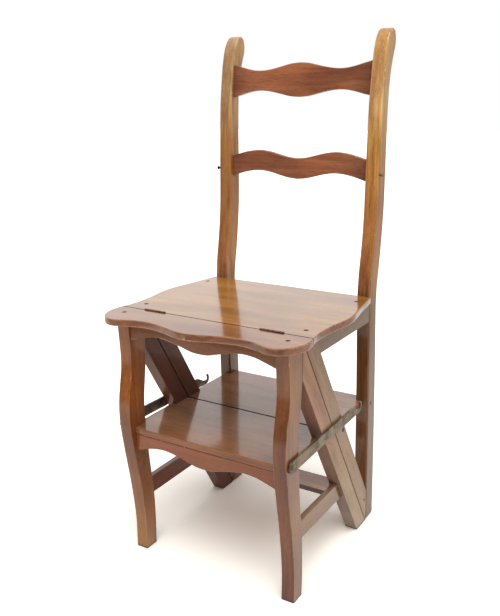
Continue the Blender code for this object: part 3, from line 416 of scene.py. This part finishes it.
def finished(node, material, ease, rim=None):
    """A copy of a node with its free arrises eased, smooth where it is round, in place of the node.
    A rim material covers the faces that don't look up or down, and the joint's painted shade and wax the
    eased edges of a joint."""
    shape = welded(node)
    partner, seam_ease = SEAMS.get(node, (None, 0))
    skins = [material, rim or material, SEAM_SHADE_AND_WAX] if partner else [material, rim] if rim else [material]
    free, near = [], []
    for edge in shape.edges:
        if len(edge.link_faces) != 2 or not edge.is_convex or edge.calc_face_angle() < SHARP:
            continue
        ends = [vert.co for vert in edge.verts]
        middle = (ends[0] + ends[1]) / 2
        seam = partner and TREES[partner].find_nearest(middle, SEAM_REACH)[0] is not None
        if not any(at_a_joint(node, point) for point in ([middle] if seam else [*ends, middle])):
            (near if seam else free).append(edge)
    if near:
        made = bmesh.ops.bevel(shape, geom=near, offset=seam_ease * MM, segments=EASE_STEPS, profile=0.5,
                               affect="EDGES", clamp_overlap=True)
        # The eased faces of the joint take the nearly black painted shade of the open joint, with old wax
        for face in made["faces"]:
            face.material_index = skins.index(SEAM_SHADE_AND_WAX)
    bmesh.ops.bevel(shape, geom=[edge for edge in free if edge.is_valid], offset=ease,
                    segments=EASE_STEPS, profile=0.5, affect="EDGES", clamp_overlap=True)
    # Easing never takes a piece out of its own box
    low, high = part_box(node)
    for vert in shape.verts:
        vert.co = [min(max(place, least), most) for place, least, most in zip(vert.co, low, high)]
    shape.normal_update()
    worn = shape.faces.layers.float.new("worn")
    for face in shape.faces:
        half_round = sum(edge.calc_length() for edge in face.edges) / 2
        turns = [edge.calc_face_angle(0) for edge in face.edges]
        face[worn] = float(face.calc_area() / half_round < NARROW and max(turns) > TURNS_OFF)
        face.smooth = True
        if rim and face.material_index == 0 and abs(face.normal.z) < RIM_TILT:
            face.material_index = 1
    for edge in shape.edges:
        edge.smooth = edge.calc_face_angle(0) < SMOOTH
    mesh = bpy.data.meshes.new(node + "_finished")
    for skin in skins:
        mesh.materials.append(skin)
    shape.to_mesh(mesh)
    shape.free()
    piece = bpy.data.objects.new(node + "_finished", mesh)
    bpy.context.scene.collection.objects.link(piece)
    weigh = piece.modifiers.new("flat_faces", "WEIGHTED_NORMAL")
    weigh.keep_sharp = True
    graph = bpy.context.evaluated_depsgraph_get()
    piece.data = bpy.data.meshes.new_from_object(piece.evaluated_get(graph))
    piece.modifiers.clear()
    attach(piece, body_of(node))
    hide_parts(node)


# Every wooden piece: its wood, its grain, the record's slot, how far its arrises are eased
# in millimetres, and where in the log its pattern is taken from
WOODEN = {
    "front_leg_left": ("leg", ALONG_Z, "frame_wood", 0.5, (0.31, 0.12, 0.05)),
    "front_leg_right": ("side_leg", ALONG_Z, "frame_wood", 0.5, (1.17, 0.44, 0.23)),
    "front_strut_left": ("dull_strut", ALONG_STRUT, "frame_wood", 0.7, (0.63, 0.91, 0.37)),
    "front_strut_right": ("dull_strut", ALONG_STRUT, "frame_wood", 0.7, (0.27, 1.41, 0.71)),
    "rear_strut_left": ("dull_strut", ALONG_STRUT, "frame_wood", 0.7, (1.53, 0.17, 0.83)),
    "rear_strut_right": ("dull_strut", ALONG_STRUT, "frame_wood", 0.7, (1.91, 0.63, 0.11)),
    "back_post_left": ("post", ALONG_Z, "post_wood", 1.5, (0.73, 0.29, 1.13)),
    "back_post_right": ("post", ALONG_Z, "post_wood", 1.5, (1.39, 1.07, 0.47)),
    "top_slat": ("slat", ALONG_X, "slat_wood", 0.5, (0.19, 0.57, 0.89)),
    "middle_slat": ("slat", ALONG_X, "slat_wood", 0.5, (0.83, 1.33, 0.29)),
    "seat_front_board": ("seat", ALONG_X, "seat_wood", 0.35, (0.41, 0.77, 0.61)),
    "seat_rear_board": ("seat", ALONG_X, "seat_wood", 0.35, (0.97, 0.33, 0.53)),
    "seat_apron": ("apron", ALONG_X, "frame_wood", 0.4, (0.59, 0.21, 1.27)),
    "seat_side_rail_left": ("strut", ALONG_Y, "frame_wood", 0.7, (1.09, 0.81, 0.43)),
    "seat_side_rail_right": ("strut", ALONG_Y, "frame_wood", 0.7, (0.13, 1.19, 0.97)),
    "shelf_front_board": ("shelf", ALONG_X, "shelf_wood", 0.35, (1.21, 0.49, 0.31)),
    "shelf_rear_board": ("shelf", ALONG_X, "shelf_wood", 0.35, (0.67, 0.93, 1.01)),
    "shelf_apron": ("apron", ALONG_X, "frame_wood", 0.4, (1.43, 0.27, 0.19)),
    "side_stretcher_left": ("strut", ALONG_Y, "frame_wood", 0.7, (0.37, 0.69, 1.31)),
    "side_stretcher_right": ("leg", ALONG_Y, "frame_wood", 0.7, (0.79, 1.03, 0.17)),
    "low_tread": ("strut", ALONG_X, "shelf_wood", 0.6, (1.61, 0.39, 0.59)),
}
for node, (wood, grain, slot, ease, offset) in WOODEN.items():
    tones_and_painted_light = TONES_AND_PAINTED_LIGHT.get(node, {})
    polish = polished_wood("polished_" + wood + "_" + node, wood, grain, offset, tones_and_painted_light)
    # The end grain and edges of the seat and the shelf drank more stain
    rim = None
    if wood in ("seat", "shelf"):
        rim = polished_wood("stained_rim_" + node, "rim", grain, offset, tones_and_painted_light)
    finished(node, polish, ease * MM, rim=rim)

# Every iron and steel piece but the wood screws: its metal, the record's slot, and how far its edges are
# eased in millimetres
METAL = {
    "hook_bar_left": (bar_iron, "bar_iron", 0.5),
    "hook_bar_right": (bar_iron_with_painted_shade, "bar_iron", 0.5),
    "hook_pivot_screw_left": (bar_iron, "dark_iron", 0.2),
    "hook_pivot_screw_right": (dark_steel, "dark_iron", 0.2),
    "hook_washer_left": (dark_steel, "dark_iron", 0.05),
    "hook_washer_right": (dark_steel, "dark_iron", 0.05),
    "lock_stud_left": (rubbed_iron, "dark_iron", 0.3),
    "lock_stud_right": (dark_steel, "dark_iron", 0.3),
    "park_stud_left": (dark_steel, "dark_iron", 0.2),
    "park_stud_right": (dark_steel, "dark_iron", 0.2),
    "hinge_front_leaf_left": (hinge_steel, "dark_iron", 0.15),
    "hinge_front_leaf_right": (hinge_steel, "dark_iron", 0.15),
    "hinge_rear_leaf_left": (hinge_steel, "dark_iron", 0.15),
    "hinge_rear_leaf_right": (hinge_steel, "dark_iron", 0.15),
    "hinge_pin_left": (screw_steel, "dark_iron", 0.15),
    "hinge_pin_right": (screw_steel, "dark_iron", 0.15),
}
for node, (steel, slot, ease) in METAL.items():
    finished(node, steel, ease * MM)

# ---- Slotted wood screws ----

# A screw's sizes, and those of each kind in millimetres
SCREW_SIZES = ("Head Radius", "Head Depth", "Shank Radius", "Shank Length", "Slot Width", "Slot Depth")
HINGE_SCREW = (2.4, 0.9, 1.1, 9.5, 0.7, 0.4)
SEAT_SCREW = (3.8, 2.6, 1.8, 26.0, 0.9, 0.9)
SIDE_SCREW = (3.0, 2.2, 1.5, 18.0, 0.8, 0.8)


def screw_tree():
    """Geometry nodes that set one countersunk, slotted screw on each point, turned as the point says."""
    tree = bpy.data.node_groups.new("slotted_wood_screw", "GeometryNodeTree")
    tree.interface.new_socket("Points", in_out="INPUT", socket_type="NodeSocketGeometry")
    for name in SCREW_SIZES:
        tree.interface.new_socket(name, in_out="INPUT", socket_type="NodeSocketFloat")
    tree.interface.new_socket("Steel", in_out="INPUT", socket_type="NodeSocketMaterial")
    tree.interface.new_socket("Screws", in_out="OUTPUT", socket_type="NodeSocketGeometry")
    given = add(tree, "NodeGroupInput").outputs

    # The head's cone, its wide face level with the point, and the plain shank below it
    cone = add(tree, "GeometryNodeMeshCone", {
        "Vertices": 32, "Radius Top": given["Head Radius"], "Radius Bottom": given["Shank Radius"],
        "Depth": given["Head Depth"]})
    sunk = add(tree, "ShaderNodeVectorMath", {0: (0, 0, -1), "Scale": given["Head Depth"]},
               operation="SCALE")
    head = add(tree, "GeometryNodeTransform", {"Geometry": cone.outputs["Mesh"],
                                               "Translation": sunk.outputs[0]})
    rod = add(tree, "GeometryNodeMeshCylinder", {
        "Vertices": 20, "Radius": given["Shank Radius"], "Depth": given["Shank Length"]})
    whole_length = add(tree, "ShaderNodeMath", {0: given["Shank Length"], 1: given["Head Depth"]},
                       operation="ADD")
    below = add(tree, "ShaderNodeVectorMath", {0: (0, 0, -0.5), "Scale": whole_length.outputs[0]},
                operation="SCALE")
    shank = add(tree, "GeometryNodeTransform", {"Geometry": rod.outputs["Mesh"],
                                                "Translation": below.outputs[0]})
    whole = add(tree, "GeometryNodeMeshBoolean", operation="UNION", solver="EXACT")
    tree.links.new(head.outputs[0], whole.inputs["Mesh 2"])
    tree.links.new(shank.outputs[0], whole.inputs["Mesh 2"])
    # The slot is cut by a blade longer than the head is wide, half of it above the head
    cut = add(tree, "ShaderNodeCombineXYZ", {"X": given["Head Radius"], "Y": given["Slot Width"],
                                             "Z": given["Slot Depth"]})
    cut = add(tree, "ShaderNodeVectorMath", {0: cut.outputs[0], 1: (3, 1, 2)}, operation="MULTIPLY")
    blade = add(tree, "GeometryNodeMeshCube", {"Size": cut.outputs[0]}).outputs["Mesh"]
    slotted = add(tree, "GeometryNodeMeshBoolean", {"Mesh 1": whole.outputs["Mesh"]},
                  operation="DIFFERENCE", solver="EXACT")
    tree.links.new(blade, slotted.inputs["Mesh 2"])
    turn = add(tree, "GeometryNodeInputNamedAttribute", {"Name": "turn"}, data_type="FLOAT_VECTOR")
    spin = add(tree, "FunctionNodeEulerToRotation", {"Euler": turn.outputs["Attribute"]}).outputs[0]
    points = add(tree, "GeometryNodeMeshToPoints", {"Mesh": given["Points"]}).outputs[0]
    set_out = add(tree, "GeometryNodeInstanceOnPoints", {
        "Points": points, "Instance": slotted.outputs["Mesh"], "Rotation": spin}).outputs[0]
    real = add(tree, "GeometryNodeRealizeInstances", {"Geometry": set_out}).outputs[0]
    steel = add(tree, "GeometryNodeSetMaterial", {"Geometry": real, "Material": given["Steel"]}).outputs[0]
    add(tree, "NodeGroupOutput", {"Screws": steel})
    return tree


SCREW_TREE = screw_tree()


def head_of(node, axis, sign):
    """The middle of a screw's head, on the side of its box that faces out."""
    low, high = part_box(node)
    centre = (low + high) / 2
    centre[axis] = high[axis] if sign > 0 else low[axis]
    return centre


def screws(name, body, places, sizes):
    """Screws for one section. Each place is a node, the axis and sign of its head, and a turn."""
    mesh = bpy.data.meshes.new(name)
    mesh.from_pydata([head_of(node, axis, sign) for node, axis, sign, turn in places], [], [])
    turns = mesh.attributes.new("turn", "FLOAT_VECTOR", "POINT")
    turns.data.foreach_set("vector", [part for place in places for part in place[3]])
    piece = bpy.data.objects.new(name, mesh)
    bpy.context.scene.collection.objects.link(piece)
    build = piece.modifiers.new("screws", "NODES")
    build.node_group = SCREW_TREE
    sockets = {item.name: item.identifier for item in SCREW_TREE.interface.items_tree}
    for label, value in zip(SCREW_SIZES, sizes):
        build[sockets[label]] = value * MM
    build[sockets["Steel"]] = screw_steel
    graph = bpy.context.evaluated_depsgraph_get()
    piece.data = bpy.data.meshes.new_from_object(piece.evaluated_get(graph))
    piece.modifiers.clear()
    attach(piece, body)
    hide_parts(*[place[0] for place in places])


QUARTER = math.radians(90)
SIDES = {"left": 1, "right": -1}
# The axis and sign of each way that a head looks, and the turn that sets a screw so
HEADS = {"back": (1, 1, (-QUARTER, 0, 0)), "front": (1, -1, (QUARTER, 0, 0)),
         "left": (0, 1, (0, QUARTER, 0)), "right": (0, -1, (0, -QUARTER, 0))}


def facing(node, way):
    return node, *HEADS[way]


def upright(node, degrees):
    """A screw whose head looks up, with its slot turned by so many degrees."""
    return node, 2, 1, (0, 0, math.radians(degrees))


screws("front_hinge_screws", "front_section",
       [facing(f"hinge_front_screw_{side}_{end}", "back") for side in SIDES for end in ("outer", "inner")],
       HINGE_SCREW)
screws("rear_hinge_screws", "back_section",
       [facing(f"hinge_rear_screw_{side}_{end}", "front") for side in SIDES for end in ("outer", "inner")],
       HINGE_SCREW)
screws("front_seat_screws", "front_section",
       [upright(f"seat_front_screw_{side}", 20 * sign) for side, sign in SIDES.items()], SEAT_SCREW)
screws("rear_seat_screws", "back_section",
       [upright(f"seat_rear_screw_{side}_{end}", turn * sign) for side, sign in SIDES.items()
        for end, turn in (("front", -35), ("back", 55))], SEAT_SCREW)
screws("side_screws", "back_section",
       [facing(f"{kind}_screw_{side}", side) for side in SIDES for kind in ("shelf", "toe")], SIDE_SCREW)

# ---- Floor, light and camera ----

# The studio's front, where the camera stands, is DARK_END as bright in the polish as its white back, and its
# right side is RIGHT_SIDE as bright
DARK_END = 0.18
RIGHT_SIDE = 0.62
# The paper reaches FLOOR_HALF to the sides and back. In the polish it ends at PAPER_EDGE in front of the
# chair. The camera sees it PAPER_WHITE times as bright as it is.
FLOOR_HALF = 14
PAPER_EDGE = -1.3
PAPER_WHITE = 1.38


def white_paper():
    """White backdrop paper, matt. The camera sees it as white. The polish mirrors it white behind the chair,
    duller to the right, and as dark as the studio beyond its front edge."""
    material, tree = new_material("white_paper_floor")
    rays = add(tree, "ShaderNodeLightPath").outputs
    place = add(tree, "ShaderNodeTexCoord").outputs["Object"]
    place = add(tree, "ShaderNodeSeparateXYZ", {"Vector": place}).outputs
    front = add(tree, "ShaderNodeMapRange", {"Value": place["Y"], "From Min": PAPER_EDGE,
                                             "From Max": PAPER_EDGE + 0.3, "To Min": DARK_END}, clamp=True)
    right = add(tree, "ShaderNodeMapRange", {"Value": place["X"], "From Min": 0.3, "From Max": 0.7,
                                             "To Min": 1.0, "To Max": RIGHT_SIDE}, clamp=True)
    level = add(tree, "ShaderNodeMath", {0: front.outputs[0], 1: right.outputs[0]}, operation="MULTIPLY")
    level = add(tree, "ShaderNodeMix", {0: rays["Is Glossy Ray"], 2: 1.0, 3: level.outputs[0]},
                data_type="FLOAT")
    level = add(tree, "ShaderNodeMix", {0: rays["Is Camera Ray"], 2: level.outputs[0], 3: PAPER_WHITE},
                data_type="FLOAT")
    shade = add(tree, "ShaderNodeVectorMath", {0: linear("F7F3EC")[:3], "Scale": level.outputs[0]},
                operation="SCALE")
    matte = add(tree, "ShaderNodeBsdfDiffuse", {"Color": shade.outputs[0]})
    add(tree, "ShaderNodeOutputMaterial", {"Surface": matte.outputs[0]})
    return material


floor_mesh = bpy.data.meshes.new("floor")
floor_mesh.from_pydata([(-FLOOR_HALF, -FLOOR_HALF, 0), (FLOOR_HALF, -FLOOR_HALF, 0),
                        (FLOOR_HALF, FLOOR_HALF, 0), (-FLOOR_HALF, FLOOR_HALF, 0)], [], [(0, 1, 2, 3)])
floor = bpy.data.objects.new("floor", floor_mesh)
bpy.context.scene.collection.objects.link(floor)
floor_mesh.materials.append(white_paper())

# The room's light where it is level, how it grows to the right and to the ceiling, and the share of it that
# comes from the front
ROOM_LIGHT = 0.36
ROOM_GROWTH = (0.35, 0.0, 0.55)
FRONT_LIGHT = 0.65


def white_room():
    """A white studio. The chair and the floor are lit by its soft light. The camera sees plain white, and
    the polish mirrors white behind, a duller right and the dark front."""
    world = bpy.data.worlds.new("white_room")
    world.use_nodes = True
    tree = world.node_tree
    tree.nodes.clear()
    rays = add(tree, "ShaderNodeLightPath").outputs
    mirror = add(tree, "ShaderNodeMath", {0: rays["Is Glossy Ray"], 1: rays["Is Transmission Ray"]},
                 operation="MAXIMUM").outputs[0]
    shown = add(tree, "ShaderNodeMath", {0: rays["Is Camera Ray"], 1: mirror}, operation="MAXIMUM")
    way = add(tree, "ShaderNodeTexCoord").outputs["Generated"]
    part = add(tree, "ShaderNodeSeparateXYZ", {"Vector": way}).outputs
    # The soft light
    growth = add(tree, "ShaderNodeVectorMath", {0: way, 1: ROOM_GROWTH}, operation="DOT_PRODUCT")
    lit = add(tree, "ShaderNodeMath", {0: growth.outputs["Value"], 1: ROOM_LIGHT}, operation="ADD")
    front = add(tree, "ShaderNodeMapRange", {"Value": part["Y"], "From Min": -0.7, "From Max": 0.0,
                                             "To Min": FRONT_LIGHT}, clamp=True)
    lit = add(tree, "ShaderNodeMath", {0: lit.outputs[0], 1: front.outputs[0]}, operation="MULTIPLY")
    lit = add(tree, "ShaderNodeMath", {0: lit.outputs[0], 1: 0.0}, operation="MAXIMUM")
    room = add(tree, "ShaderNodeBackground", {"Color": (1, 1, 1, 1), "Strength": lit.outputs[0]})
    # The white that the camera and the polish see
    front = add(tree, "ShaderNodeMapRange", {"Value": part["Y"], "From Min": -0.6, "From Max": -0.15,
                                             "To Min": DARK_END}, clamp=True)
    right = add(tree, "ShaderNodeMapRange", {"Value": part["X"], "From Min": 0.0, "From Max": 0.35,
                                             "To Min": 1.0, "To Max": RIGHT_SIDE}, clamp=True)
    level = add(tree, "ShaderNodeMath", {0: front.outputs[0], 1: right.outputs[0]}, operation="MULTIPLY")
    level = add(tree, "ShaderNodeMix", {0: mirror, 2: 1.0, 3: level.outputs[0]}, data_type="FLOAT")
    white = add(tree, "ShaderNodeBackground", {"Color": (1, 1, 1, 1), "Strength": level.outputs[0]})
    mixed = add(tree, "ShaderNodeMixShader", {0: shown.outputs[0], 1: room.outputs[0], 2: white.outputs[0]})
    add(tree, "ShaderNodeOutputWorld", {"Surface": mixed.outputs[0]})
    return world


bpy.context.scene.world = white_room()

# The key light comes from high in front, through a window as broad as KEY_SPREAD
KEY_LIGHT = 1.95
KEY_FROM = (0.20, -0.40, 0.90)
KEY_SPREAD = math.radians(44)
lamp = bpy.data.lights.new("key_light", "SUN")
lamp.energy = KEY_LIGHT
lamp.angle = KEY_SPREAD
key = bpy.data.objects.new("key_light", lamp)
bpy.context.scene.collection.objects.link(key)
key.rotation_euler = (-Vector(KEY_FROM)).to_track_quat("-Z", "Y").to_euler()

# The camera stands about 1.3 m from the chair, in front of it and to its left, and looks down on it. Its
# focal length is in pixels of a frame that is FRAME_HEIGHT of them high.
CAMERA_PLACE = (0.6592, -0.9413 + HINGE_LINE_Y, 0.7981)
CAMERA_YAW = math.radians(31.861)
CAMERA_PITCH = math.radians(-15.939)
CAMERA_ROLL = math.radians(-0.846)
FRAME_HEIGHT = 616
FOCAL_PIXELS = 752.65
SENSOR = 36
lens = bpy.data.cameras.new("camera")
lens.sensor_width = SENSOR
lens.lens = FOCAL_PIXELS / FRAME_HEIGHT * SENSOR
lens.clip_start = 10 * MM
camera = bpy.data.objects.new("camera", lens)
bpy.context.scene.collection.objects.link(camera)
ahead = Vector((-math.sin(CAMERA_YAW) * math.cos(CAMERA_PITCH),
                math.cos(CAMERA_YAW) * math.cos(CAMERA_PITCH), math.sin(CAMERA_PITCH)))
level = Vector((math.cos(CAMERA_YAW), math.sin(CAMERA_YAW), 0))
above = level.cross(ahead)
across = level * math.cos(CAMERA_ROLL) + above * math.sin(CAMERA_ROLL)
up = above * math.cos(CAMERA_ROLL) - level * math.sin(CAMERA_ROLL)
turn = Matrix((across, up, -ahead)).transposed()
camera.matrix_world = Matrix.Translation(CAMERA_PLACE) @ turn.to_4x4()
bpy.context.scene.camera = camera
bpy.context.scene.view_settings.view_transform = "Standard"
